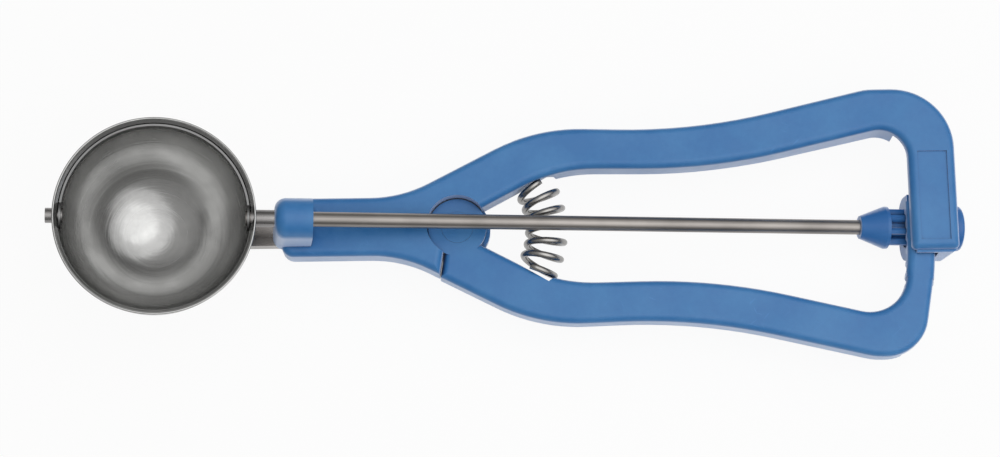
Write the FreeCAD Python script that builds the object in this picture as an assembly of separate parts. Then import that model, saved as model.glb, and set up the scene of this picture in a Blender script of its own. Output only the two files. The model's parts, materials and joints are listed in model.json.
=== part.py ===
import FreeCAD, Part
import math
import os

from FreeCAD import Placement, Rotation, Vector

# Lever ice cream scoop, in millimetres.
# X runs along the handle, from the bowl to the toothed end. Y is the squeeze direction.
# Z points up, out of the handle's front face, and z = 0 is the lowest point of the scoop.
# The shapes are drawn with the hinge of the two handle halves on x = 0, y = 0. When they are
# saved they all move along x together, so that the middle of the scoop's length is x = 0.

# Driving sizes: depth of the layers, all measured down from the upper half's front face
LAYER_GAP = 0.3            # running gap between parts that slide over each other
PLATE_THICKNESS = 3.0      # thin front plate of the upper half's end arm
UPPER_THICKNESS = 8.8      # upper half along the grip and the neck
UPPER_THICK_END = 10.5     # upper half where it thickens, beside the end corner
LOWER_THICKNESS = 7.8      # lower half along the grip
ARM_THICKNESS = 3.5        # lower half's end arm, below its rack
DISC_THICKNESS = 2.5       # hinge disc of the lower half
EDGE_ROUND = 1.8           # rounding of the long edges of both halves

# Driving sizes: outline of the handle, x and y of each corner and its rounding
RACK_MID = 116.8           # middle of the rack from the hinge axis; the end arms stand round it
NECK_HALF = 7.5            # half width of the neck
NECK_START = -44.0
NECK_ROUND = 3.0
SHOULDER_X = -14.0         # where the neck starts to flare
SHOULDER_ROUND = 32.0
HUMP_X = 20.1              # finger hump
HUMP_Y = 25.1
HUMP_ROUND = 46.0
WAIST_X = 60.3             # narrow middle of the grip
WAIST_Y = 23.85
WAIST_ROUND = 150.0
BROW_BACK = 12.9           # the grip levels out this far before the middle of the rack
BROW_Y = 34.1
BROW_ROUND = 16.0
END_PAST = 8.85            # far side of the upper half's end arm, past the middle of the rack
CORNER_ROUND = 15.4
ARM_INNER_BACK = 3.0       # near side of that arm, before the middle of the rack
ARM_FOOT_ROUND = 1.2
INNER_CORNER_Y = 25.2      # inner outline, from the end corner back to the crotch
UPPER_INNER_ROUND = 7.0
LOWER_INNER_ROUND = 9.5
INNER_WAIST_X = 64.9
INNER_WAIST_Y = 13.85
INNER_HUMP_X = 24.8
INNER_HUMP_Y = 14.4
INNER_HUMP_ROUND = 40.0
CROTCH_Y = 1.15            # height of the inner outline carried on to the hinge
THICK_START_X = 70.0       # the upper half thickens from here
THICK_END_BACK = 12.8      # and is at its thickest this far before the middle of the rack
THICK_BLEND = 200.0
STEP_BACK = 6.2            # nearer the end only the front plate and the rack arm are left
LOWER_CORNER_BACK = 1.0    # corner of the lower half, before the middle of the rack
LOWER_CORNER_ROUND = 11.0
ARM_TOP_Y = -12.5          # the lower half's outline ends here and the arched rack goes on
RACK_FOOT_Y = -15.5        # the arm is thinned for the rack from here up
PANEL_DEPTH = 0.4          # bare recessed panel on the end arm
PANEL_MARGIN = 2.2
PANEL_TOP = 17.5

# Driving sizes: hinge
DISC_RADIUS = 7.3
RECESS_GAP = 0.3
BACK_PLATE_RADIUS = 8.3
PARTING_TOP_X = -3.4       # line where the lower half butts on the upper one
PARTING_TOP_Y = -5.5
PARTING_FOOT_X = -4.5
PARTING_GAP = 0.15
PIN_HEAD_RADIUS = 3.95
PIN_HEAD_THICKNESS = 1.0
PIN_RADIUS = 3.0
PIN_TAIL_RADIUS = 4.6
PIN_TAIL_THICKNESS = 0.9
RUNNING_GAP = 0.05         # radial play of every turning fit
SQUEEZE_LIMIT = 6.0        # degrees of squeeze

# Driving sizes: drive rod
ROD_RADIUS = 1.85
ROD_TILT = 7.05            # degrees between the rod and the handle's front face
ROD_OVER_HINGE = 3.3       # rod axis over the front face, above the hinge
COLLAR_START = -45.2       # collar on the neck, measured along the rod from the hinge
COLLAR_END = -35.8
COLLAR_RADIUS = 5.15
COLLAR_ROUND = 2.8
BUSH_WALL = 0.25
BUSH_SEAT = 2.0

# Driving sizes: bowl and blade
BOWL_REACH = 50.35         # near side of the cup from the hinge, along the rod
BOWL_RADIUS = 24.1         # outside of the cup
BOWL_WALL = 0.6
LIP_FLARE = 0.7            # how far the rim flares past the cup
RIM_HEIGHT = 2.4           # rim over the rod axis
LIP_HEIGHT = 1.1           # height of the flared lip
BLADE_GAP = 0.2
BLADE_THICKNESS = 0.5
BLADE_WIDTH = 2.8
BLADE_EYE_RADIUS = 3.3
SPIGOT_RADIUS = 1.2
SPIGOT_HEAD_RADIUS = 1.9
SPIGOT_HEAD_THICKNESS = 0.6
RIVET_HEAD_RADIUS = 1.85
RIVET_HEAD_THICKNESS = 2.3
TANG_HALF = 4.35
TANG_THICKNESS = 3.5
TANG_DEPTH = 2.4           # front of the tang under the handle's front face
TANG_END = -22.0           # end of the tang inside the neck

# Driving sizes: rack and pinion; the last ones are lengths before or past the middle of the rack
PINION_TEETH = 7
GEAR_RATIO = 30            # turns of the pinion for one turn of the lower half
RACK_HALF = 3.5            # half the length of a rack tooth
RACK_TEETH_ABOVE = 1
RACK_TEETH_BELOW = 4
RACK_TOP_SHARE = 1.6       # tooth pitches from the middle tooth to the rack's top end
RACK_TIP = 0.65            # rack tooth tip over the pitch line
PINION_TIP = 0.85
PINION_ROOT = 1.1
PRESSURE_ANGLE = 25.0
TOOTH_PLAY = 0.12          # play on each flank of a rack tooth
TOOTH_SEAT = 0.1           # how deep the teeth are set into the rack's base
SLEEVE_SMALL_RADIUS = 2.9
SLEEVE_LARGE_RADIUS = 5.35
SLEEVE_RIM = 0.8
JOURNAL_RADIUS = 3.0
HOUSING_HALF = 8.2         # half width of the housing behind the end arm
HOUSING_ROUND = 5.5
HOUSING_WALL = 1.4
HOUSING_EDGE = 1.0
CAP_RADIUS = 5.75
CAP_ROUND = 0.8
STUB_RADIUS = 1.8
STUB_LENGTH = 3.0
CAVITY_GAP = 0.3
SLEEVE_START_BACK = 14.1
PINION_START_BACK = 7.1
PINION_END_PAST = 4.4
ROD_END_PAST = 2.2
HOUSING_START_BACK = 1.9
HOUSING_END_PAST = 7.9
BEARING_START_PAST = 5.0
CAP_START_PAST = 8.2
CAP_END_PAST = 12.0

# Driving sizes: return spring, wound along an arc round the hinge
SPRING_X = 22.5
SPRING_DEPTH = 7.4
SPRING_MEAN_RADIUS = 4.6
WIRE_RADIUS = 0.85
SPRING_HALF_ANGLE = 28.5   # degrees
SPRING_QUARTERS = 24
POCKET_ROUND_GAP = 0.5
SEAT_GAP = 0.15

# Worked-out sizes
MARGIN = 1.0               # how far cutting tools reach past what they cut
NEARNESS = 1e-4            # how close an edge lies to the plane it is picked by
FLANK_STEPS = 4            # straight steps that a tooth flank's curve runs through
TILT_COS = math.cos(math.radians(ROD_TILT))
TILT_SIN = math.sin(math.radians(ROD_TILT))
BROW_X = RACK_MID - BROW_BACK
END_X = RACK_MID + END_PAST
ARM_INNER_X = RACK_MID - ARM_INNER_BACK
THICK_END_X = RACK_MID - THICK_END_BACK
STEP_X = RACK_MID - STEP_BACK
LOWER_CORNER_X = RACK_MID - LOWER_CORNER_BACK
SLEEVE_START = RACK_MID - SLEEVE_START_BACK
PINION_START = RACK_MID - PINION_START_BACK
PINION_END = RACK_MID + PINION_END_PAST
ROD_END = RACK_MID + ROD_END_PAST
HOUSING_START = RACK_MID - HOUSING_START_BACK
HOUSING_END = RACK_MID + HOUSING_END_PAST
BEARING_START = RACK_MID + BEARING_START_PAST
CAP_START = RACK_MID + CAP_START_PAST
CAP_END = RACK_MID + CAP_END_PAST
PITCH_RADIUS = RACK_MID / GEAR_RATIO
PINION_RADIUS = PITCH_RADIUS + PINION_TIP
CAVITY_RADIUS = PINION_RADIUS + CAVITY_GAP
HOUSING_DEPTH = CAVITY_RADIUS + HOUSING_WALL
FOOT_START = HOUSING_END - HOUSING_EDGE
FOOT_DEPTH = HOUSING_DEPTH - HOUSING_EDGE
FRONT = TILT_SIN * FOOT_START + TILT_COS * FOOT_DEPTH + HOUSING_EDGE - ROD_OVER_HINGE
LOWER_FRONT = FRONT - PLATE_THICKNESS - LAYER_GAP
UPPER_BACK = FRONT - UPPER_THICKNESS
LOWER_BACK = LOWER_FRONT - LOWER_THICKNESS
DISC_BACK = LOWER_FRONT - DISC_THICKNESS
BACK_PLATE_FRONT = DISC_BACK - LAYER_GAP
PINION_TOP = ((RACK_MID - RACK_HALF) * TILT_SIN - PINION_RADIUS) / TILT_COS - ROD_OVER_HINGE
RACK_BASE = FRONT - PINION_TOP + LAYER_GAP
TOOTH_REACH = ((RACK_MID + RACK_HALF) * TILT_SIN - PITCH_RADIUS + RACK_TIP) / TILT_COS - ROD_OVER_HINGE
SLOT_DEPTH = TOOTH_REACH + LAYER_GAP
RECESS_RADIUS = DISC_RADIUS + RECESS_GAP
BUSH_RADIUS = ROD_RADIUS + RUNNING_GAP + BUSH_WALL
BOWL_CENTRE = -BOWL_REACH - BOWL_RADIUS
BOWL_INSIDE = BOWL_RADIUS - BOWL_WALL
RIM_RADIUS = BOWL_RADIUS + LIP_FLARE
BLADE_OUTSIDE = BOWL_INSIDE - BLADE_GAP
BLADE_INSIDE = BLADE_OUTSIDE - BLADE_THICKNESS
TOOTH_ANGLE = 360 / PINION_TEETH
RACK_ANGLE = TOOTH_ANGLE / GEAR_RATIO
RACK_PITCH = math.radians(RACK_ANGLE) * RACK_MID
FLARE_SLOPE = (HUMP_Y - NECK_HALF) / (HUMP_X - SHOULDER_X)
PARTING_FOOT_Y = -NECK_HALF - (PARTING_FOOT_X - SHOULDER_X) * FLARE_SLOPE
SPRING_RADIUS = SPRING_MEAN_RADIUS + WIRE_RADIUS
SEAT_ANGLE = SPRING_HALF_ANGLE + math.degrees((WIRE_RADIUS + SEAT_GAP) / (SPRING_X - SPRING_MEAN_RADIUS))

ORIGIN = Vector(0, 0, 0)
X_AXIS = Vector(1, 0, 0)
Y_AXIS = Vector(0, 1, 0)
Z_AXIS = Vector(0, 0, 1)
APEX = Vector(0, 0, FRONT + ROD_OVER_HINGE)
ROD_FRAME = Placement(APEX, Rotation(Y_AXIS, ROD_TILT))
BOWL_MIDDLE = Vector(BOWL_CENTRE, 0, 0)


def rounded_outline(corners):
    """Closed wire in the XY plane: straight runs joined by tangent arcs at the corners."""
    edges = []
    ends = []
    count = len(corners)
    for index, (x, y, radius) in enumerate(corners):
        here = Vector(x, y, 0)
        before = Vector(*corners[index - 1][:2], 0) - here
        after = Vector(*corners[(index + 1) % count][:2], 0) - here
        before.normalize()
        after.normalize()
        if radius == 0:
            ends.append((here, here, None))
            continue
        half = before.getAngle(after) / 2
        reach = radius / math.tan(half)
        middle = before + after
        middle.normalize()
        crown = here + middle * (radius / math.sin(half) - radius)
        ends.append((here + before * reach, here + after * reach, crown))
    for index, (start, finish, crown) in enumerate(ends):
        if crown:
            edges.append(Part.Arc(start, crown, finish).toShape())
        edges.append(Part.LineSegment(finish, ends[(index + 1) % count][0]).toShape())
    return Part.Wire(edges)


def slab(corners, low, high):
    """Outline in the XY plane, filled from z = low to z = high."""
    face = Part.Face(rounded_outline(corners))
    solid = face.extrude(Vector(0, 0, high - low))
    solid.translate(Vector(0, 0, low))
    return solid


def side_slab(corners, half_width):
    """Outline given as x and z, filled across y."""
    face = Part.Face(rounded_outline(corners))
    face.rotate(ORIGIN, X_AXIS, 90)
    face.translate(Vector(0, half_width, 0))
    return face.extrude(Vector(0, -2 * half_width, 0))


def end_slab(corners, start, finish):
    """Outline given as y and z, filled along x."""
    face = Part.Face(rounded_outline(corners))
    face.rotate(ORIGIN, Vector(1, 1, 1), 120)
    face.translate(Vector(start, 0, 0))
    return face.extrude(Vector(finish - start, 0, 0))


def box(x, y, z):
    """Box from the pairs of its lowest and highest x, y and z."""
    return Part.makeBox(x[1] - x[0], y[1] - y[0], z[1] - z[0], Vector(x[0], y[0], z[0]))


def post(radius, low, high):
    """Round post on the hinge axis."""
    return Part.makeCylinder(radius, high - low, Vector(0, 0, low), Z_AXIS)


def shaft(radius, start, end):
    """Round shaft on the rod axis, in the rod's own frame."""
    return Part.makeCylinder(radius, end - start, Vector(start, 0, 0), X_AXIS)


def bowl_ball(radius):
    """Ball round the middle of the bowl, in the rod's own frame."""
    return Part.makeSphere(radius, BOWL_MIDDLE)


def on_rod(shape):
    """Carry a shape from the rod's own frame into the scoop's frame."""
    placed = shape.copy()
    placed.Placement = ROD_FRAME.multiply(shape.Placement)
    return placed


def round_edges(solid, radius, wanted):
    """Round the edges that the test picks."""
    return solid.makeFillet(radius, [edge for edge in solid.Edges if wanted(edge)])


def round_rims(solid, radius):
    """Round the rims of the front and back faces, whole or made of several faces."""
    rims = {}
    for face in solid.Faces:
        u_low, u_high, v_low, v_high = face.ParameterRange
        normal = face.normalAt((u_low + u_high) / 2, (v_low + v_high) / 2)
        if abs(normal.z) > abs(normal.x) + abs(normal.y):
            for edge in face.Edges:
                rims.setdefault(edge.hashCode(), []).append(edge)
    return solid.makeFillet(radius, [found[0] for found in rims.values() if len(found) == 1])


def mirrored(corners):
    return [(x, -y, radius) for x, y, radius in corners]


def grip_outer():
    """Outer corners of a handle half, from the neck to the end corner."""
    return [(SHOULDER_X, NECK_HALF, SHOULDER_ROUND),
            (HUMP_X, HUMP_Y, HUMP_ROUND),
            (WAIST_X, WAIST_Y, WAIST_ROUND),
            (BROW_X, BROW_Y, BROW_ROUND)]


def grip_inner(arm_x, corner_round):
    """Inner corners of a handle half, from the end corner back to the hinge."""
    return [(arm_x, INNER_CORNER_Y, corner_round),
            (INNER_WAIST_X, INNER_WAIST_Y, WAIST_ROUND),
            (INNER_HUMP_X, INNER_HUMP_Y, INNER_HUMP_ROUND),
            (0, CROTCH_Y, 0)]


def spring_pocket():
    """Space of the spring between its two seats, a fat arc round the hinge."""
    ring = Part.Face(Part.Wire(Part.makeCircle(SPRING_RADIUS + POCKET_ROUND_GAP, ORIGIN, Y_AXIS)))
    ring.translate(Vector(SPRING_X, 0, FRONT - SPRING_DEPTH))
    ring.rotate(ORIGIN, Z_AXIS, -SEAT_ANGLE)
    return ring.revolve(ORIGIN, Z_AXIS, 2 * SEAT_ANGLE)


def make_collar():
    """Boss on the neck that carries the rod, with its web down to the neck."""
    barrel = shaft(COLLAR_RADIUS, COLLAR_START, COLLAR_END)
    web_depth = ROD_OVER_HINGE - COLLAR_START * TILT_SIN + PLATE_THICKNESS
    web = box((COLLAR_START, COLLAR_END), (-COLLAR_RADIUS, COLLAR_RADIUS), (-web_depth, 0))
    boss = barrel.fuse(web).removeSplitter()
    return round_edges(boss, COLLAR_ROUND, lambda edge: edge.BoundBox.XMax < COLLAR_START + NEARNESS
                       and edge.BoundBox.ZMax > MARGIN - web_depth)


def make_housing():
    """Block behind the end arm that guides the rack and carries the pinion, in the rod's frame."""
    corners = [(-HOUSING_HALF, -HOUSING_DEPTH, HOUSING_ROUND), (HOUSING_HALF, -HOUSING_DEPTH, HOUSING_ROUND),
               (HOUSING_HALF, FRONT, 0), (-HOUSING_HALF, FRONT, 0)]
    block = end_slab(corners, HOUSING_START, HOUSING_END)
    return round_edges(block, HOUSING_EDGE, lambda edge: edge.BoundBox.XMin > HOUSING_END - NEARNESS)


def make_upper_handle():
    corners = [(NECK_START, NECK_HALF, NECK_ROUND)]
    corners += grip_outer()
    corners += [(END_X, BROW_Y, CORNER_ROUND),
                (END_X, -NECK_HALF, ARM_FOOT_ROUND),
                (ARM_INNER_X, -NECK_HALF, ARM_FOOT_ROUND)]
    corners += grip_inner(ARM_INNER_X, UPPER_INNER_ROUND)
    corners += [(PARTING_TOP_X, PARTING_TOP_Y, 0),
                (PARTING_FOOT_X, PARTING_FOOT_Y, 0),
                (SHOULDER_X, -NECK_HALF, SHOULDER_ROUND),
                (NECK_START, -NECK_HALF, NECK_ROUND)]
    plate_back = FRONT - PLATE_THICKNESS
    thick_back = FRONT - UPPER_THICK_END
    side = [(NECK_START - MARGIN, FRONT + MARGIN, 0), (END_X + MARGIN, FRONT + MARGIN, 0),
            (END_X + MARGIN, thick_back, 0), (THICK_END_X, thick_back, THICK_BLEND),
            (THICK_START_X, UPPER_BACK, THICK_BLEND), (NECK_START - MARGIN, UPPER_BACK, 0)]
    body = slab(corners, thick_back - MARGIN, FRONT).common(side_slab(side, BROW_Y + MARGIN))
    body = round_rims(body, EDGE_ROUND)
    end_room = box((STEP_X, END_X + MARGIN), (-BROW_Y, BROW_Y + MARGIN), (thick_back - MARGIN, plate_back))
    body = body.cut(end_room).fuse(post(BACK_PLATE_RADIUS, UPPER_BACK, BACK_PLATE_FRONT))

    room = box((STEP_X, END_X + MARGIN), (-BROW_Y, BROW_Y), (-APEX.z, plate_back + MARGIN))
    body = body.fuse([on_rod(make_collar()), on_rod(make_housing()).common(room)])
    panel_x = (ARM_INNER_X + PANEL_MARGIN, END_X - PANEL_MARGIN)
    panel = box(panel_x, (PANEL_MARGIN - NECK_HALF, PANEL_TOP), (FRONT - PANEL_DEPTH, FRONT + MARGIN))
    slot_x = (HOUSING_START - MARGIN, RACK_MID + RACK_HALF + LAYER_GAP)
    slot = box(slot_x, (-HOUSING_HALF - MARGIN, HOUSING_HALF + MARGIN), (FRONT - SLOT_DEPTH, plate_back))
    rod_tools = [shaft(ROD_RADIUS + RUNNING_GAP, COLLAR_START - MARGIN, COLLAR_END + MARGIN),
                 shaft(BUSH_RADIUS, COLLAR_START - MARGIN, COLLAR_START + BUSH_SEAT),
                 shaft(CAVITY_RADIUS, HOUSING_START - MARGIN, BEARING_START),
                 shaft(JOURNAL_RADIUS + RUNNING_GAP, BEARING_START - MARGIN, HOUSING_END + MARGIN)]
    tools = [post(RECESS_RADIUS, BACK_PLATE_FRONT, FRONT + MARGIN),
             post(PIN_RADIUS, UPPER_BACK - MARGIN, FRONT),
             spring_pocket(), panel, slot, tang_bar()]
    return body.cut(tools + [on_rod(tool) for tool in rod_tools])


def rack_sector():
    """Arched end of the lower half's arm, centred on the hinge, that carries the rack teeth."""
    inner = RACK_MID - RACK_HALF
    outer = RACK_MID + RACK_HALF
    foot = math.degrees(math.asin((EDGE_ROUND - ARM_TOP_Y) / RACK_MID))
    top = RACK_TOP_SHARE * RACK_ANGLE
    ring = Part.makeCylinder(outer, LOWER_FRONT - RACK_BASE, Vector(0, 0, RACK_BASE), Z_AXIS, foot + top)
    ring = ring.cut(post(inner, RACK_BASE - MARGIN, LOWER_FRONT + MARGIN))
    ring.rotate(ORIGIN, Z_AXIS, -foot)
    return round_edges(ring, EDGE_ROUND, lambda edge: edge.BoundBox.ZMin > LOWER_FRONT - NEARNESS
                       and edge.Length > 2 * RACK_HALF + MARGIN)


def rack_tooth():
    """Tooth of the rack straight in front of the pinion."""
    slope = math.tan(math.radians(PRESSURE_ANGLE))
    half = RACK_PITCH / 4 - TOOTH_PLAY
    tip = PITCH_RADIUS - RACK_TIP
    base = CAVITY_RADIUS + 2 * MARGIN
    tip_half = half - RACK_TIP * slope
    base_half = half + (base - PITCH_RADIUS) * slope
    corners = [(-tip_half, tip, 0), (tip_half, tip, 0), (base_half, base, 0), (-base_half, base, 0)]
    tooth = on_rod(end_slab(corners, RACK_MID - 2 * RACK_HALF, RACK_MID + 2 * RACK_HALF))
    room = post(RACK_MID + RACK_HALF, 0, RACK_BASE + TOOTH_SEAT)
    return tooth.common(room.cut(post(RACK_MID - RACK_HALF, -MARGIN, LOWER_FRONT)))


def make_lower_handle():
    arm_outer = math.sqrt((RACK_MID + RACK_HALF) ** 2 - ARM_TOP_Y ** 2)
    arm_inner = math.sqrt((RACK_MID - RACK_HALF) ** 2 - ARM_TOP_Y ** 2)
    corners = [(PARTING_TOP_X + PARTING_GAP, PARTING_TOP_Y, 0)]
    corners += mirrored(reversed(grip_inner(arm_inner, LOWER_INNER_ROUND)))
    corners += [(arm_inner, ARM_TOP_Y, 0), (arm_outer, ARM_TOP_Y, 0),
                (LOWER_CORNER_X, -BROW_Y, LOWER_CORNER_ROUND)]
    corners += mirrored(reversed(grip_outer()[1:]))
    corners += [(PARTING_FOOT_X + PARTING_GAP, PARTING_FOOT_Y - PARTING_GAP * FLARE_SLOPE, 0)]
    arm_back = LOWER_FRONT - ARM_THICKNESS
    side = [(-DISC_RADIUS, LOWER_FRONT + MARGIN, 0), (END_X, LOWER_FRONT + MARGIN, 0), (END_X, arm_back, 0),
            (STEP_X, arm_back, 0), (STEP_X, LOWER_BACK, 0), (-DISC_RADIUS, LOWER_BACK, 0)]
    body = round_rims(slab(corners, LOWER_BACK, LOWER_FRONT), EDGE_ROUND)
    body = body.common(side_slab(side, BROW_Y + MARGIN))
    body = body.cut(box((STEP_X, END_X), (RACK_FOOT_Y, 0), (0, RACK_BASE)))
    teeth = []
    for index in range(-RACK_TEETH_BELOW, RACK_TEETH_ABOVE + 1):
        tooth = rack_tooth()
        tooth.rotate(ORIGIN, Z_AXIS, index * RACK_ANGLE)
        teeth.append(tooth)
    body = body.fuse([post(DISC_RADIUS, DISC_BACK, LOWER_FRONT), rack_sector().fuse(teeth)])
    tools = [post(BACK_PLATE_RADIUS + LAYER_GAP, LOWER_BACK - MARGIN, DISC_BACK),
             post(PIN_HEAD_RADIUS + RUNNING_GAP, LOWER_FRONT - PIN_HEAD_THICKNESS - RUNNING_GAP, FRONT),
             post(PIN_RADIUS + RUNNING_GAP, DISC_BACK - MARGIN, LOWER_FRONT),
             spring_pocket()]
    return body.cut(tools)


def make_hinge_pin():
    head = post(PIN_HEAD_RADIUS, LOWER_FRONT - PIN_HEAD_THICKNESS, LOWER_FRONT)
    shank = post(PIN_RADIUS, UPPER_BACK, LOWER_FRONT)
    tail = post(PIN_TAIL_RADIUS, UPPER_BACK - PIN_TAIL_THICKNESS, UPPER_BACK)
    return head.fuse([shank, tail]).removeSplitter()


def tang_bar():
    """Flat bar welded under the bowl and held inside the neck."""
    back = FRONT - TANG_DEPTH - TANG_THICKNESS
    return box((BOWL_CENTRE, TANG_END), (-TANG_HALF, TANG_HALF), (back, back + TANG_THICKNESS))


def bowl_block(radius, rim):
    """Bowl as if filled to its rim, turned round its upright axis: a ball below, a flared lip above."""
    lip = RIM_HEIGHT - LIP_HEIGHT
    foot = Vector(0, 0, -radius)
    waist = Vector(radius, 0, -radius) * math.sqrt(0.5)
    corner = Vector(math.sqrt(radius ** 2 - lip ** 2), 0, lip)
    edge = Vector(rim, 0, RIM_HEIGHT)
    middle = Vector(0, 0, RIM_HEIGHT)
    ball = Part.Arc(foot, waist, corner).toShape()
    profile = Part.Wire([ball, Part.makePolygon([corner, edge, middle, foot])])
    block = Part.Face(profile).revolve(ORIGIN, Z_AXIS, 360)
    block.translate(BOWL_MIDDLE)
    return block


def make_bowl_tang():
    return tang_bar().cut(on_rod(bowl_block(BOWL_RADIUS, RIM_RADIUS)))


def make_bowl():
    cup = bowl_block(BOWL_RADIUS, RIM_RADIUS).cut(bowl_block(BOWL_INSIDE, RIM_RADIUS - BOWL_WALL))
    tip_hole = shaft(SPIGOT_RADIUS, BOWL_CENTRE - RIM_RADIUS, BOWL_CENTRE)
    rod_hole = shaft(BUSH_RADIUS, BOWL_CENTRE, BOWL_CENTRE + RIM_RADIUS)
    return cup.cut([tip_hole, rod_hole])


def make_rod_bush():
    start = BOWL_CENTRE + BOWL_INSIDE
    tube = shaft(BUSH_RADIUS, start, COLLAR_START + BUSH_SEAT)
    return tube.cut(shaft(ROD_RADIUS + RUNNING_GAP, start - MARGIN, COLLAR_END))


def make_tip_rivet():
    """Rivet through the bowl's far side, on which the blade turns."""
    head_start = BOWL_CENTRE - BOWL_RADIUS - RIVET_HEAD_THICKNESS
    head = shaft(RIVET_HEAD_RADIUS, head_start, BOWL_CENTRE - BLADE_INSIDE)
    head = head.cut(bowl_block(BOWL_RADIUS, RIM_RADIUS))
    inner_end = BOWL_CENTRE - BLADE_INSIDE + SPIGOT_HEAD_THICKNESS
    shank = shaft(SPIGOT_RADIUS, head_start, inner_end)
    inner_head = shaft(SPIGOT_HEAD_RADIUS, BOWL_CENTRE - BOWL_RADIUS, inner_end)
    return head.fuse([shank, inner_head.common(bowl_ball(BLADE_INSIDE - RUNNING_GAP))]).removeSplitter()


def make_scraper_blade():
    """Half ring of strip steel inside the bowl, with an eye at each end."""
    shell = bowl_ball(BLADE_OUTSIDE).cut(bowl_ball(BLADE_INSIDE))
    ends = (BOWL_CENTRE - BOWL_RADIUS, BOWL_CENTRE + BOWL_RADIUS)
    strip = box(ends, (0, BOWL_RADIUS), (-BLADE_WIDTH / 2, BLADE_WIDTH / 2))
    blade = shell.common(strip.fuse(shaft(BLADE_EYE_RADIUS, *ends)))
    tip_hole = shaft(SPIGOT_RADIUS + RUNNING_GAP, ends[0], BOWL_CENTRE)
    rod_hole = shaft(SPIGOT_RADIUS, BOWL_CENTRE, ends[1])
    return blade.cut([tip_hole, rod_hole])


def make_drive_rod():
    """Rod from the blade's near eye to the pinion, with a riveted spigot in the eye."""
    shoulder = BOWL_CENTRE + BLADE_INSIDE
    spigot_end = shoulder - SPIGOT_HEAD_THICKNESS
    bar = shaft(ROD_RADIUS, shoulder, ROD_END).cut(bowl_ball(BLADE_OUTSIDE))
    spigot = shaft(SPIGOT_RADIUS, spigot_end, shoulder + BLADE_THICKNESS + MARGIN)
    head = shaft(SPIGOT_HEAD_RADIUS, spigot_end, shoulder + MARGIN).common(bowl_ball(BLADE_INSIDE))
    return bar.fuse([spigot, head]).removeSplitter()


def gear_outline():
    """Pinion outline as y and z: involute flanks, with a tooth space facing the rack."""
    pressure = math.radians(PRESSURE_ANGLE)
    base = PITCH_RADIUS * math.cos(pressure)
    root = PITCH_RADIUS - PINION_ROOT
    spread = math.pi / 2 / PINION_TEETH + math.tan(pressure) - pressure

    def half_angle(radius):
        turn = math.acos(min(1, base / radius))
        return spread - math.tan(turn) + turn

    def at(radius, angle):
        return Vector(radius * math.sin(angle), radius * math.cos(angle), 0)

    edges = []
    flank = [base + (PINION_RADIUS - base) * step / FLANK_STEPS for step in range(FLANK_STEPS + 1)]
    for tooth in range(PINION_TEETH):
        centre = math.radians(TOOTH_ANGLE) * (tooth + 0.5)
        after = centre + math.radians(TOOTH_ANGLE)
        rise = [at(radius, centre - half_angle(radius)) for radius in flank]
        fall = [at(radius, centre + half_angle(radius)) for radius in reversed(flank)]
        root_in = at(root, centre - half_angle(base))
        root_out = at(root, centre + half_angle(base))
        root_next = at(root, after - half_angle(base))
        edges.append(Part.LineSegment(root_in, rise[0]).toShape())
        for side, top in ((rise, True), (fall, False)):
            curve = Part.BSplineCurve()
            curve.interpolate(side)
            edges.append(curve.toShape())
            if top:
                edges.append(Part.Arc(rise[-1], at(PINION_RADIUS, centre), fall[0]).toShape())
        edges.append(Part.LineSegment(fall[-1], root_out).toShape())
        edges.append(Part.Arc(root_out, at(root, (centre + after) / 2), root_next).toShape())
    return Part.Wire(edges)


def make_pinion_sleeve():
    """Moulded piece on the rod's end: tapered sleeve, pinion, journal and stub for the cap."""
    gear = Part.Face(gear_outline())
    gear.rotate(ORIGIN, Vector(1, 1, 1), 120)
    gear.translate(Vector(PINION_START, 0, 0))
    gear = gear.extrude(Vector(PINION_END - PINION_START, 0, 0))
    taper_end = PINION_START - SLEEVE_RIM
    taper = Part.makeCone(SLEEVE_SMALL_RADIUS, SLEEVE_LARGE_RADIUS, taper_end - SLEEVE_START,
                          Vector(SLEEVE_START, 0, 0), X_AXIS)
    rim = shaft(SLEEVE_LARGE_RADIUS, taper_end, PINION_START)
    journal = shaft(JOURNAL_RADIUS, PINION_END - MARGIN, CAP_START)
    stub = shaft(STUB_RADIUS, PINION_END, CAP_START + STUB_LENGTH)
    core = shaft(PITCH_RADIUS - PINION_ROOT, PINION_START - MARGIN, PINION_END)
    return gear.fuse([taper, rim, core, journal, stub]).cut(shaft(ROD_RADIUS, SLEEVE_START - MARGIN, ROD_END))


def make_end_cap():
    cap = shaft(CAP_RADIUS, CAP_START, CAP_END)
    cap = round_edges(cap, CAP_ROUND, lambda edge: edge.BoundBox.XMin > CAP_START + MARGIN)
    return cap.cut(shaft(STUB_RADIUS, CAP_START - MARGIN, CAP_START + STUB_LENGTH))


def spring_point(turned):
    """Point and direction of the spring's wire after an angle of winding."""
    whole = SPRING_QUARTERS * math.pi / 2
    swing = math.radians(SPRING_HALF_ANGLE)
    around = -swing + 2 * swing * turned / whole
    rate = 2 * swing / whole
    out = Vector(math.cos(around), math.sin(around), 0)
    along = Vector(-math.sin(around), math.cos(around), 0)
    reach = SPRING_X + SPRING_MEAN_RADIUS * math.sin(turned)
    point = out * reach + Z_AXIS * (FRONT - SPRING_DEPTH + SPRING_MEAN_RADIUS * math.cos(turned))
    heading = (out * (SPRING_MEAN_RADIUS * math.cos(turned)) + along * (reach * rate)
               - Z_AXIS * (SPRING_MEAN_RADIUS * math.sin(turned)))
    heading.normalize()
    return point, heading


def tangent_arc(start, heading, finish):
    """Arc from a point, along a heading, to another point."""
    chord = finish - start
    middle = start + chord * 0.5
    half = heading.getAngle(chord)
    side = heading - chord * (heading.dot(chord) / chord.dot(chord))
    side.normalize()
    return Part.Arc(start, middle + side * (chord.Length / 2 * math.tan(half / 2)), finish).toShape()


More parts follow.
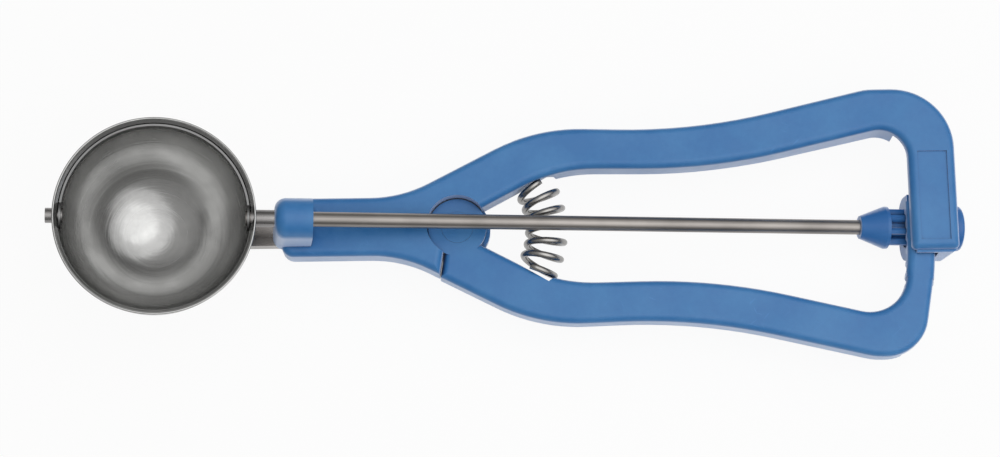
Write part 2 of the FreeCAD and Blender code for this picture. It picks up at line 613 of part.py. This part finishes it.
def biarc(start, heading, finish, leaving):
    """Two tangent arcs that join two points with the given headings."""
    gap = finish - start
    both = heading + leaving
    a = 2 * (1 - heading.dot(leaving))
    b = 2 * gap.dot(both)
    reach = (-b + math.sqrt(b * b + 4 * a * gap.dot(gap))) / (2 * a)
    meeting = (start + heading * reach + finish - leaving * reach) * 0.5
    second = tangent_arc(finish, leaving * -1, meeting)
    return [tangent_arc(start, heading, meeting), second]


def make_return_spring():
    """Round wire wound as one helix along an arc round the hinge, its ends left straight."""
    straight = 2 * WIRE_RADIUS
    knots = [spring_point(index * math.pi / 2) for index in range(SPRING_QUARTERS + 1)]
    first, first_heading = knots[0]
    last, last_heading = knots[-1]
    tail = first - first_heading * straight
    edges = [Part.LineSegment(tail, first).toShape()]
    for (start, heading), (finish, leaving) in zip(knots, knots[1:]):
        edges += biarc(start, heading, finish, leaving)
    edges.append(Part.LineSegment(last, last + last_heading * straight).toShape())
    path = Part.Wire(Part.__sortEdges__(edges))
    section = Part.Wire(Part.makeCircle(WIRE_RADIUS, tail, first_heading))
    print("spring: wire length", round(path.Length, 1), "least gap to itself", round(spring_gap(path), 2))
    return path.makePipeShell([section], True, False)


def spring_gap(path):
    """Least gap between turns of the wire, measured on points along its middle line."""
    step = WIRE_RADIUS / 2
    points = path.discretize(int(path.Length / step))
    apart = int(math.pi * SPRING_MEAN_RADIUS / step)
    least = min((points[first] - points[second]).Length
                for first in range(len(points)) for second in range(first + apart, len(points)))
    return least - 2 * WIRE_RADIUS


def save_all(shapes):
    """Write one file per piece, with the middle of the whole scoop's length moved to x = 0."""
    bounds = Part.makeCompound(list(shapes.values())).optimalBoundingBox()
    middle = (bounds.XMin + bounds.XMax) / 2
    os.makedirs("parts", exist_ok=True)
    for name, shape in shapes.items():
        shape.translate(Vector(-middle, 0, 0))
        shape.exportStep("parts/" + name + ".step")
        state = "valid" if shape.isValid() else "INVALID"
        print(name, len(shape.Solids), "solid", round(shape.Volume, 1), "mm3", state)
    print("size", [round(length, 2) for length in (bounds.XLength, bounds.YLength, bounds.ZLength)])
    print("hinge at x", round(-middle, 4), "front face at z", round(FRONT, 4))
    print("rod axis over the hinge at z", round(APEX.z, 4))


save_all({
    "bowl": on_rod(make_bowl()),
    "bowl_tang": make_bowl_tang(),
    "rod_bush": on_rod(make_rod_bush()),
    "tip_rivet": on_rod(make_tip_rivet()),
    "upper_handle": make_upper_handle(),
    "hinge_pin": make_hinge_pin(),
    "return_spring": make_return_spring(),
    "lower_handle": make_lower_handle(),
    "drive_rod": on_rod(make_drive_rod()),
    "scraper_blade": on_rod(make_scraper_blade()),
    "pinion_sleeve": on_rod(make_pinion_sleeve()),
    "end_cap": on_rod(make_end_cap()),
})
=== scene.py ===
# %% [markdown]
# # A lever ice cream scoop
#
# The scoop is a spun steel bowl on a flat stem, a steel rod that lies over a blue plastic
# handle, and a handle in two halves that a spring holds apart. Squeezing the halves turns
# the rod, and the curved strip in the bowl sweeps the ice cream out.
#
# This file dresses a finished model. The engineering model comes first and is loaded as it
# is, in metres: x runs along the handle, y is the way the hand squeezes, and z points up
# out of the front face. We only add finishes, smoother copies of a few metal parts, a
# floor, lamps and a camera.

# %% Load the frame
import bpy
import bmesh
import json
import math
from mathutils import Matrix, Vector


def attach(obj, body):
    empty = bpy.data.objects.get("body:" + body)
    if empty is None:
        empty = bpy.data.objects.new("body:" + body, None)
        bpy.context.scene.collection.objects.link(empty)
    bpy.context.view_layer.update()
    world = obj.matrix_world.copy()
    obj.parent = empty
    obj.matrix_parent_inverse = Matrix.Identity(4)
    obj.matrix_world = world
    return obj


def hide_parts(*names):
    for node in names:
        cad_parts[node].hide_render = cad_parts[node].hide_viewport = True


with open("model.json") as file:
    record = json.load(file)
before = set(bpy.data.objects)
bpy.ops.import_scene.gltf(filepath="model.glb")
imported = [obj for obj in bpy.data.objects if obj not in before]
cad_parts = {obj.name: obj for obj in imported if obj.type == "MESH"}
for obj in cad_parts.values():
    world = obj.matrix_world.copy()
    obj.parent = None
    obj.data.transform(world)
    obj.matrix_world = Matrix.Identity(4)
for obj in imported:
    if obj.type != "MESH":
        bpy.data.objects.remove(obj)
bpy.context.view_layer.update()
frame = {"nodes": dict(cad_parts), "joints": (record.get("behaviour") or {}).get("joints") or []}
nodes = frame["nodes"]
print("nodes:", ", ".join(sorted(nodes)))

# %% [markdown]
# ## Where things are
#
# The hinge between the two halves is the natural zero of the mechanism, so we read its
# place from the joint instead of typing it. The rod is tilted: it lies close over the
# handle's front at the bowl end and dives behind the end arm at the other. Its joint gives
# us a point on its axis and its direction, and from those we build one matrix that turns
# "along the rod" coordinates into the frame's own.

# %% The hinge and the rod's own axes
joints = {joint["name"]: joint for joint in frame["joints"]}
hinge = Vector(joints["hub_squeeze"]["pos_m"])
rod_point = Vector(joints["scraper_turn"]["pos_m"])
rod_axis = -Vector(joints["scraper_turn"]["axis"]).normalized()
rod_up = Vector((0, -1, 0)).cross(rod_axis).normalized()
rod_turn = Matrix((rod_axis, Vector((0, 1, 0)), rod_up)).transposed()
rod_matrix = Matrix.Translation(rod_point) @ rod_turn.to_4x4()
ROD_OVER_HINGE = 0.0033    # the rod's middle passes this far over the handle's front face
front_face = rod_point.z - ROD_OVER_HINGE
print("hinge", tuple(round(v, 5) for v in hinge), "rod tilt", round(math.degrees(math.asin(-rod_axis.z)), 2))
print("front face of the handle at z", round(front_face, 5))

# %% [markdown]
# ## The camera
#
# The photograph was taken from almost straight above the handle's front face, leaning a
# little to the squeeze side, so the undersides of the arms just show. A long lens keeps the
# handle's two arms parallel. We build the camera's three axes by hand: its back points out
# of the front face and leans by CAMERA_LEAN, and a small roll lifts the toothed end.

# %% Camera at the photograph's angle
LENS = 86.4                # millimetres, on a sensor 36 mm wide
CAMERA_DISTANCE = 0.600
CAMERA_LEAN = math.radians(12.9)
CAMERA_ROLL = math.radians(0.75)
AIM_PAST_HINGE = 0.01075   # the middle of the picture, from the hinge
AIM_BELOW_HINGE = 0.0012
AIM = Vector((hinge.x + AIM_PAST_HINGE, -AIM_BELOW_HINGE, front_face))

back = Vector((0, -math.sin(CAMERA_LEAN), math.cos(CAMERA_LEAN)))
straight_up = Vector((0, math.cos(CAMERA_LEAN), math.sin(CAMERA_LEAN)))
right = math.cos(CAMERA_ROLL) * Vector((1, 0, 0)) - math.sin(CAMERA_ROLL) * straight_up
up = math.sin(CAMERA_ROLL) * Vector((1, 0, 0)) + math.cos(CAMERA_ROLL) * straight_up

camera_data = bpy.data.cameras.new("camera")
camera_data.lens = LENS
camera_data.sensor_width = 36
camera_data.clip_start = 0.01
camera = bpy.data.objects.new("camera", camera_data)
bpy.context.scene.collection.objects.link(camera)
camera.matrix_world = (Matrix.Translation(AIM + back * CAMERA_DISTANCE)
                       @ Matrix((right, up, back)).transposed().to_4x4())
bpy.context.scene.camera = camera
print("camera at", tuple(round(v, 3) for v in camera.matrix_world.translation))

# %% [markdown]
# ## Small helpers for materials
#
# A material is a small graph of nodes. Every finish below starts the same way: a new
# material, its Principled shader, and a pattern in the object's own coordinates, so that
# the pattern stays on the part when the part moves.

# %% Helpers that make nodes
def new_finish(name, **sockets):
    """A new material with its Principled shader set from the given sockets."""
    finish = bpy.data.materials.new(name)
    finish.use_nodes = True
    shader = finish.node_tree.nodes["Principled BSDF"]
    for socket, value in sockets.items():
        shader.inputs[socket.replace("_", " ")].default_value = value
    return finish, shader


def add_node(finish, kind, **settings):
    """A new node, its plain settings and its sockets' values given by name."""
    node = finish.node_tree.nodes.new("ShaderNode" + kind)
    for key, value in settings.items():
        if key in node.inputs:
            node.inputs[key].default_value = value
        elif key.replace("_", " ") in node.inputs:
            node.inputs[key.replace("_", " ")].default_value = value
        else:
            setattr(node, key, value)
    return node


def join(finish, output, socket):
    """Link a node's output to another node's input socket."""
    finish.node_tree.links.new(output, socket)


def combined(finish, operation, first, second):
    """One value from two others, by the named operation."""
    node = add_node(finish, "Math", operation=operation)
    join(finish, first, node.inputs[0])
    join(finish, second, node.inputs[1])
    return node.outputs[0]


def stretched_coordinates(finish, scale, turn=(0, 0, 0)):
    """The part's own coordinates in metres, turned back, then stretched by a scale on each axis."""
    place = add_node(finish, "TexCoord")
    mapping = add_node(finish, "Mapping", vector_type="TEXTURE", Rotation=turn,
                       Scale=tuple(1 / factor for factor in scale))
    join(finish, place.outputs["Object"], mapping.inputs["Vector"])
    return mapping.outputs["Vector"]


def noise(finish, vector, size, detail=2.0, roughness=0.5):
    """Soft noise whose blotches are about as many metres across as size says."""
    node = add_node(finish, "TexNoise", Scale=1 / size, Detail=detail, Roughness=roughness)
    join(finish, vector, node.inputs["Vector"])
    return node.outputs["Fac"]


def spread(finish, value, low, high, start=0.0, end=1.0):
    """Turn a value that runs from start to end into one that runs from low to high."""
    node = add_node(finish, "MapRange")
    join(finish, value, node.inputs["Value"])
    for socket, number in (("From Min", start), ("From Max", end), ("To Min", low), ("To Max", high)):
        node.inputs[socket].default_value = number
    return node.outputs["Result"]


def blend_colours(finish, factor, first, second):
    """A colour between two others; each is a colour or another node's output."""
    node = add_node(finish, "Mix", data_type="RGBA")
    join(finish, factor, node.inputs["Factor"])
    slots = [socket for socket in node.inputs if socket.type == "RGBA"]
    for socket, colour in zip(slots, (first, second)):
        if isinstance(colour, tuple):
            socket.default_value = colour
        else:
            join(finish, colour, socket)
    return [socket for socket in node.outputs if socket.type == "RGBA"][0]


def bumped(finish, height, shader, distance, strength=1.0, before=None):
    """Raise the surface by a height pattern, distance being its full depth in metres."""
    node = add_node(finish, "Bump", Strength=strength, Distance=distance)
    join(finish, height, node.inputs["Height"])
    if before:
        join(finish, before, node.inputs["Normal"])
    join(finish, node.outputs["Normal"], shader.inputs["Normal"])
    return node.outputs["Normal"]


print("helpers ready")

# %% [markdown]
# ## Blue plastic
#
# Both halves are moulded in one semi-gloss blue plastic. The real surface is not flat
# colour: it is a little paler where hands have rubbed it, the gloss breaks up in soft
# patches, and it carries fine scuffs that run every way. A mirror-smooth blue would look
# like glass, and an image texture would not travel with the part, so we mix noises. Where
# the plastic is seen at a slant, a pale lilac sheen is painted into its colour, and narrow
# grooves get a painted dark shade.

# %% Handle plastic
def srgb(red, green, blue):
    """A colour as a picture editor shows it, 0 to 255, turned into light values."""
    def light(value):
        value = value / 255
        return value / 12.92 if value <= 0.04045 else ((value + 0.055) / 1.055) ** 2.4
    return (light(red), light(green), light(blue), 1.0)


# painted sheen: a pale lilac colour mixed in where the surface is seen at a slant
PAINTED_SLANT_SHEEN = srgb(192, 214, 250)
# painted shade: a dark blue mixed into narrow grooves, where shade falls
PAINTED_GROOVE_SHADE = srgb(22, 48, 88)
GROOVE_WIDTH = 0.0022      # surfaces closer together than this count as a groove


def make_handle_plastic(name, colour, worn, scuffs=1.0):
    """Blue plastic with cloudy wear, fine scuffs, a painted pale sheen at a slant and painted shade in
    grooves.
    """
    finish, shader = new_finish(name, IOR=1.5, Sheen_Weight=0.35, Sheen_Roughness=0.35,
                                Sheen_Tint=(0.85, 0.90, 1.0, 1.0))
    place = stretched_coordinates(finish, (1, 1, 1))
    clouds = noise(finish, place, 0.012, detail=5.0, roughness=0.65)
    patches = spread(finish, clouds, 0, 1, 0.38, 0.64)
    tint = blend_colours(finish, patches, colour, worn)

    scratch_lines = []
    for turn in (0.5, 1.2, 2.3):
        lines = stretched_coordinates(finish, (1.0, 0.12, 0.3), (0, 0, turn))
        streaks = noise(finish, lines, 0.0007, detail=1.0)
        scratch_lines.append(spread(finish, streaks, 0, 1, 0.72, 0.78))
    two_ways = combined(finish, "MAXIMUM", scratch_lines[0], scratch_lines[1])
    all_lines = combined(finish, "MAXIMUM", two_ways, scratch_lines[2])
    rubbed = spread(finish, noise(finish, place, 0.020, detail=3.0), 0, 0.50 * scuffs, 0.52, 0.70)
    scuffed = combined(finish, "MULTIPLY", all_lines, rubbed)
    pale = tuple(min(1.0, channel * 1.35 + 0.02) for channel in worn[:3]) + (1.0,)
    marked = blend_colours(finish, scuffed, tint, pale)

    # painted sheen: pale lilac blended in by how slanting the view is, kept out of the grooves
    view = add_node(finish, "LayerWeight", Blend=0.5)
    slant_sheen_mask = spread(finish, view.outputs["Facing"], 0, 0.85, 0.45, 0.80)
    hollow = add_node(finish, "AmbientOcclusion", Distance=GROOVE_WIDTH, samples=6)
    openness = hollow.outputs["AO"]
    open_sheen_mask = combined(finish, "MULTIPLY", slant_sheen_mask, spread(finish, openness, 0, 1, 0.35, 0.75))
    # painted shade: the colour turns towards the dark blue where the surface is hemmed in
    groove_shaded = blend_colours(finish, spread(finish, openness, 0, 1, 0.15, 0.70), PAINTED_GROOVE_SHADE, marked)
    final = blend_colours(finish, open_sheen_mask, groove_shaded, PAINTED_SLANT_SHEEN)
    join(finish, final, shader.inputs["Base Color"])

    gloss = spread(finish, noise(finish, place, 0.006, detail=5.0), 0.30, 0.46, 0.3, 0.7)
    join(finish, gloss, shader.inputs["Roughness"])
    skin = noise(finish, place, 0.0009, detail=3.0)
    first = bumped(finish, skin, shader, 0.000012)
    bumped(finish, scuffed, shader, 0.00001, before=first)
    return finish


HANDLE_BLUE = srgb(52, 119, 183)
HANDLE_WORN = srgb(68, 132, 192)
handle_plastic = make_handle_plastic("handle_plastic", HANDLE_BLUE, HANDLE_WORN)
lower_plastic = make_handle_plastic("lower_handle_plastic", HANDLE_BLUE, HANDLE_WORN, scuffs=1.2)
drive_plastic = make_handle_plastic("drive_plastic", srgb(46, 110, 178), srgb(58, 121, 186), scuffs=0.6)
print("plastics:", handle_plastic.name, lower_plastic.name, drive_plastic.name)

# %% [markdown]
# ## Steel
#
# Three kinds of steel meet here. The bowl is spun on a lathe, which leaves fine rings round
# its own upright axis. The rod is drawn, which leaves lines along it. The stem, strip and
# spring are rolled or cold-wound and only have a soft, uneven shine. Each finish gets its
# lines from a noise stretched hard along the way the tool ran.

# %% Drawn and rolled steel
def make_drawn_steel(name, colour, roughness, lines_along, turn=(0, 0, 0)):
    """Steel with soft stains and fine lines; a small scale on an axis draws the lines along it."""
    finish, shader = new_finish(name, Metallic=1.0)
    lines = stretched_coordinates(finish, lines_along, turn)
    streaks = noise(finish, lines, 0.001, detail=4.0, roughness=0.7)
    place = stretched_coordinates(finish, (1, 1, 1))
    stains = noise(finish, place, 0.012, detail=3.0)
    darker = tuple(channel * 0.72 for channel in colour[:3]) + (1.0,)
    tint = blend_colours(finish, spread(finish, stains, 0, 1, 0.35, 0.75), colour, darker)
    join(finish, tint, shader.inputs["Base Color"])
    gloss = spread(finish, streaks, roughness - 0.06, roughness + 0.08, 0.25, 0.75)
    join(finish, gloss, shader.inputs["Roughness"])
    bumped(finish, streaks, shader, 0.000008)
    return finish


rod_tilt = math.atan2(-rod_axis.z, rod_axis.x)
rod_steel = make_drawn_steel("rod_steel", srgb(158, 153, 149), 0.36, (0.02, 1, 1), (0, rod_tilt, 0))
stem_steel = make_drawn_steel("stem_steel", srgb(176, 171, 168), 0.26, (0.03, 1, 1))
blade_steel = make_drawn_steel("blade_steel", srgb(140, 140, 140), 0.32, (0.5, 1, 0.5))
spring_steel = make_drawn_steel("spring_steel", srgb(168, 166, 163), 0.24, (1, 0.2, 1))
rivet_steel = make_drawn_steel("rivet_steel", srgb(150, 148, 147), 0.30, (1, 1, 1))
print("steels:", rod_steel.name, stem_steel.name, blade_steel.name, spring_steel.name, rivet_steel.name)

# %% [markdown]
# ## Spun steel for the bowl
#
# The bowl is spun on a lathe, so the tool leaves rings round its upright axis. Height alone
# would crowd the rings at the rim and spread them at the bottom. Distance from the axis plus
# height runs almost evenly along the curve from bottom to rim, so we read a noise along that
# sum. The bowl's middle and tilt are taken out first, so the rings sit level with its rim.

# %% Spun steel
BOWL_ALONG = -0.07445      # the bowl's middle, along the rod from the hinge
bowl_place = rod_matrix @ Matrix.Translation((BOWL_ALONG, 0, 0))


def ring_noise(finish, along, size, detail=2.0, roughness=0.5):
    """Noise that changes only along one value, so that it makes rings."""
    node = add_node(finish, "TexNoise", noise_dimensions="1D", Scale=1 / size, Detail=detail,
                    Roughness=roughness)
    join(finish, along, node.inputs["W"])
    return node.outputs["Fac"]


def make_spun_steel(name, colour, roughness):
    """Steel with rings round the bowl's own upright axis and faint smears."""
    finish, shader = new_finish(name, Metallic=1.0)
    place = add_node(finish, "TexCoord")
    own = add_node(finish, "Mapping", vector_type="TEXTURE", Location=bowl_place.translation,
                   Rotation=bowl_place.to_euler())
    join(finish, place.outputs["Object"], own.inputs["Vector"])
    flat = add_node(finish, "Mapping", Scale=(1, 1, 0))
    join(finish, own.outputs["Vector"], flat.inputs["Vector"])
    from_axis = add_node(finish, "VectorMath", operation="LENGTH")
    join(finish, flat.outputs["Vector"], from_axis.inputs[0])
    parts = add_node(finish, "SeparateXYZ")
    join(finish, own.outputs["Vector"], parts.inputs["Vector"])
    along = combined(finish, "ADD", from_axis.outputs["Value"], parts.outputs["Z"])

    fine_rings = ring_noise(finish, along, 0.0005, detail=4.0, roughness=0.7)
    broad_rings = ring_noise(finish, along, 0.0032, detail=3.0)
    smears = noise(finish, own.outputs["Vector"], 0.010, detail=5.0, roughness=0.65)
    darker = tuple(channel * 0.80 for channel in colour[:3]) + (1.0,)
    tint = blend_colours(finish, spread(finish, smears, 0, 1, 0.35, 0.7), colour, darker)
    join(finish, tint, shader.inputs["Base Color"])
    uneven = combined(finish, "ADD", smears, fine_rings)
    gloss = spread(finish, uneven, roughness - 0.06, roughness + 0.08, 0.7, 1.3)
    join(finish, gloss, shader.inputs["Roughness"])
    first = bumped(finish, fine_rings, shader, 0.000004)
    bumped(finish, broad_rings, shader, 0.00004, before=first)
    return finish


bowl_steel = make_spun_steel("bowl_steel", srgb(187, 187, 186), 0.20)
print("spun steel:", bowl_steel.name)

# %% [markdown]
# ## The bowl
#
# The engineering model holds the bowl's true shape, but as flat facets, and a mirror-like
# cup shows every facet. So we turn the same profile again with many more steps and smooth
# shading: half a circle for the outside, the straight flared lip, a softly rounded rim and
# the inside surface back to the bottom. Its own axes follow the rod's tilt, so the rings of
# the spun finish stand level with the rim.

# %% Turn a profile round the z axis
ON_AXIS = 1e-7             # a smaller radius than this is one point on the axis


def placed(name, mesh):
    """A new object in the scene that shows a mesh with smooth shading."""
    mesh.shade_smooth()
    piece = bpy.data.objects.new(name, mesh)
    bpy.context.scene.collection.objects.link(piece)
    return piece


def turned(name, profile, steps):
    """A closed skin from a profile of (radius, z) pairs; the first and last lie on the axis."""
    mesh = bpy.data.meshes.new(name)
    grid = bmesh.new()
    rings = []
    for radius, z in profile:
        if radius < ON_AXIS:
            rings.append([grid.verts.new((0, 0, z))])
        else:
            angles = [2 * math.pi * step / steps for step in range(steps)]
            rings.append([grid.verts.new((radius * math.cos(a), radius * math.sin(a), z)) for a in angles])
    for inner, outer in zip(rings, rings[1:]):
        for step in range(steps):
            after = (step + 1) % steps
            if len(inner) == 1:
                grid.faces.new((inner[0], outer[step], outer[after]))
            elif len(outer) == 1:
                grid.faces.new((inner[step], outer[0], inner[after]))
            else:
                grid.faces.new((inner[step], outer[step], outer[after], inner[after]))
    bmesh.ops.recalc_face_normals(grid, faces=grid.faces)
    grid.to_mesh(mesh)
    grid.free()
    return placed(name, mesh)


print("ready to turn profiles")

# %% Bowl with a rounded rim
BOWL_RADIUS = 0.0241
BOWL_WALL = 0.0006
RIM_RADIUS = 0.0248
RIM_HEIGHT = 0.0024
LIP_HEIGHT = 0.0011
LIP_FOOT = RIM_HEIGHT - LIP_HEIGHT
RIM_ROUND = BOWL_WALL / 2
LIP_STEPS = 6
RIM_STEPS = 8


def bowl_side(radius, rim, steps=48):
    """Profile from the bottom of the ball up to the rim."""
    last = math.asin(LIP_FOOT / radius)
    points = []
    for step in range(steps + 1):
        angle = -math.pi / 2 + (last + math.pi / 2) * step / steps
        points.append((radius * math.cos(angle), radius * math.sin(angle)))
    foot = points[-1]
    top = RIM_HEIGHT - RIM_ROUND
    for step in range(1, LIP_STEPS + 1):
        share = step / LIP_STEPS
        points.append((foot[0] + (rim - foot[0]) * share, foot[1] + (top - foot[1]) * share))
    return points


outside = bowl_side(BOWL_RADIUS, RIM_RADIUS)
inside = bowl_side(BOWL_RADIUS - BOWL_WALL, RIM_RADIUS - BOWL_WALL)
rim_angles = [math.pi * step / RIM_STEPS for step in range(1, RIM_STEPS)]
rim_bend = [(RIM_RADIUS - RIM_ROUND + RIM_ROUND * math.cos(angle),
             RIM_HEIGHT - RIM_ROUND + RIM_ROUND * math.sin(angle)) for angle in rim_angles]
outside[0] = (0, -BOWL_RADIUS)
inside[0] = (0, BOWL_WALL - BOWL_RADIUS)
bowl = turned("bowl_shell", outside + rim_bend + inside[::-1], 192)
bowl.data.transform(bowl_place)
bowl.data.materials.append(bowl_steel)
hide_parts("bowl")
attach(bowl, "frame")
print("bowl faces:", len(bowl.data.polygons))

# %% [markdown]
# ## The return spring
#
# The spring is round wire wound along an arc round the hinge. A curve with a round bevel
# would do, but a swept mesh lets us control the ends. We walk the same winding formula as
# the engineering model in fine steps, carry a ring of points along the wire, and close both
# ends with a flat face.

# %% Sweep a ring of points along a path
def swept(name, points, radius, sides=20):
    """A round tube through the points, closed at both ends."""
    mesh = bpy.data.meshes.new(name)
    tube = bmesh.new()
    normal = Vector((0, 0, 1))
    rings = []
    count = len(points)
    for index, point in enumerate(points):
        heading = (points[min(index + 1, count - 1)] - points[max(index - 1, 0)]).normalized()
        normal = (normal - heading * normal.dot(heading)).normalized()
        side = heading.cross(normal)
        rings.append([tube.verts.new(point + radius * (normal * math.cos(2 * math.pi * k / sides)
                                                       + side * math.sin(2 * math.pi * k / sides)))
                      for k in range(sides)])
    for first, second in zip(rings, rings[1:]):
        for k in range(sides):
            tube.faces.new((first[k], first[(k + 1) % sides], second[(k + 1) % sides], second[k]))
    tube.faces.new(rings[0][::-1])
    tube.faces.new(rings[-1])
    bmesh.ops.recalc_face_normals(tube, faces=tube.faces)
    tube.to_mesh(mesh)
    tube.free()
    return placed(name, mesh)


print("ready to sweep wires")

# %% Winding of the return spring
SPRING_REACH = 0.0225      # from the hinge to the middle of the coil
COIL_RADIUS = 0.0046
WIRE_RADIUS = 0.00085
SPRING_SWING = math.radians(28.5)
WOUND = 24 * math.pi / 2   # six turns
SPRING_DEPTH = 0.0074      # the middle of the coil, below the handle's front face
END_LENGTH = 1.9 * WIRE_RADIUS
STEPS = 520

wire = []
for step in range(STEPS + 1):
    turned_by = WOUND * step / STEPS
    around = -SPRING_SWING + 2 * SPRING_SWING * step / STEPS
    reach = SPRING_REACH + COIL_RADIUS * math.sin(turned_by)
    height = front_face - SPRING_DEPTH + COIL_RADIUS * math.cos(turned_by)
    wire.append(Vector((hinge.x + reach * math.cos(around), reach * math.sin(around), height)))
first_way = (wire[0] - wire[1]).normalized()
last_way = (wire[-1] - wire[-2]).normalized()
wire = [wire[0] + first_way * END_LENGTH] + wire + [wire[-1] + last_way * END_LENGTH]
spring = swept("return_spring_wire", wire, WIRE_RADIUS)
spring.data.materials.append(spring_steel)
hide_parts("return_spring")
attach(spring, "frame")
print("spring faces:", len(spring.data.polygons), "turns:", round(WOUND / (2 * math.pi), 2))

# %% [markdown]
# ## Finishes on the engineering parts
#
# The other parts already have the right shape, so they keep it and only get a finish. Their
# meshes are flat-shaded facets; marking smooth faces and keeping sharp edges sharp makes
# the rounded rims look rounded without changing a single point.

# %% Dress the parts
SHARP_ANGLE = math.radians(28)
part_finishes = {
    "upper_handle": handle_plastic,
    "lower_handle": lower_plastic,
    "hinge_pin": handle_plastic,
    "pinion_sleeve": drive_plastic,
    "end_cap": drive_plastic,
    "drive_rod": rod_steel,
    "bowl_tang": stem_steel,
    "rod_bush": rivet_steel,
    "tip_rivet": rivet_steel,
    "scraper_blade": blade_steel,
}
for name, finish in part_finishes.items():
    part = nodes[name]
    part.data.materials.clear()
    part.data.materials.append(finish)
    part.data.shade_smooth()
    part.data.set_sharp_from_angle(angle=SHARP_ANGLE)
print("dressed", len(part_finishes), "parts")

# %% [markdown]
# ## Floor and light
#
# The photograph has a plain white ground. A floor that is only white paint would need so
# much light that the handle washes out. So the camera and the shiny metal see mostly a plain
# white glow in its place, and the rest is matt paint that still takes the scoop's shadow. All
# other light meets only the paint. The lamps stay at a level where a colour looks as it is
# written.

# %% Floor
FLOOR_SIZE = 6.0           # from the middle to each side
FLOOR_GAP = 0.0002         # the floor lies this far under the scoop
GLOW_SEEN = 0.93           # share of glow that the camera sees
GLOW_MIRRORED = 0.75       # and that the metal mirrors
floor_mesh = bpy.data.meshes.new("floor")
floor_mesh.from_pydata([(-FLOOR_SIZE, -FLOOR_SIZE, 0), (FLOOR_SIZE, -FLOOR_SIZE, 0),
                        (FLOOR_SIZE, FLOOR_SIZE, 0), (-FLOOR_SIZE, FLOOR_SIZE, 0)], [], [(0, 1, 2, 3)])
floor = bpy.data.objects.new("floor", floor_mesh)
floor.location.z = -FLOOR_GAP
bpy.context.scene.collection.objects.link(floor)

paper = bpy.data.materials.new("white_paper")
paper.use_nodes = True
paper.node_tree.nodes.clear()
output = add_node(paper, "OutputMaterial")
matt = add_node(paper, "BsdfDiffuse", Color=(0.86, 0.86, 0.86, 1))
glow = add_node(paper, "Emission", Color=(1, 1, 1, 1), Strength=1.0)
rays = add_node(paper, "LightPath")
clear = combined(paper, "MAXIMUM", rays.outputs["Is Camera Ray"], rays.outputs["Is Transmission Ray"])
straight = spread(paper, clear, 0.0, GLOW_SEEN)
mirrored = spread(paper, rays.outputs["Is Glossy Ray"], 0.0, GLOW_MIRRORED)
mix = add_node(paper, "MixShader")
join(paper, combined(paper, "MAXIMUM", straight, mirrored), mix.inputs[0])
join(paper, matt.outputs[0], mix.inputs[1])
join(paper, glow.outputs[0], mix.inputs[2])
join(paper, mix.outputs[0], output.inputs["Surface"])
floor_mesh.materials.append(paper)
print("floor:", floor.name)

# %% [markdown]
# ## Lamps
#
# The bowl is a mirror of the room: it shows one broad soft light overhead, a little towards
# the handle, and a dim surrounding. So there is a big round lamp in that direction, with a
# wider and weaker one round it so that its mirror image fades out at the edge, and a
# world that is dim near the ground and lighter overhead, which keeps the steel's edges dark.

# %% World and lamps
world = bpy.data.worlds.new("studio")
bpy.context.scene.world = world
world.use_nodes = True
background = world.node_tree.nodes["Background"]
background.inputs["Color"].default_value = (1.0, 0.995, 0.985, 1)
sky = add_node(world, "TexCoord")
heights = add_node(world, "SeparateXYZ")
join(world, sky.outputs["Generated"], heights.inputs["Vector"])
join(world, spread(world, heights.outputs["Z"], 0.10, 0.55), background.inputs["Strength"])


def soft_lamp(name, place, target, size, power):
    """A round soft lamp at a place, facing a target."""
    data = bpy.data.lights.new(name, "AREA")
    data.shape = "DISK"
    data.size = size
    data.energy = power
    lamp = bpy.data.objects.new(name, data)
    bpy.context.scene.collection.objects.link(lamp)
    way = Vector(target) - Vector(place)
    lamp.matrix_world = Matrix.Translation(place) @ way.to_track_quat("-Z", "Y").to_matrix().to_4x4()
    return lamp


BOWL_MIDDLE = (-0.09, 0, 0.02)
overhead = soft_lamp("overhead_lamp", (0.27, -0.05, 0.70), BOWL_MIDDLE, 0.72, 0.90)
diffuser = soft_lamp("diffuser_lamp", (0.28, -0.05, 0.72), BOWL_MIDDLE, 1.50, 3.4)
bpy.context.scene.view_settings.view_transform = "Standard"
print("lamps:", overhead.name, diffuser.name)
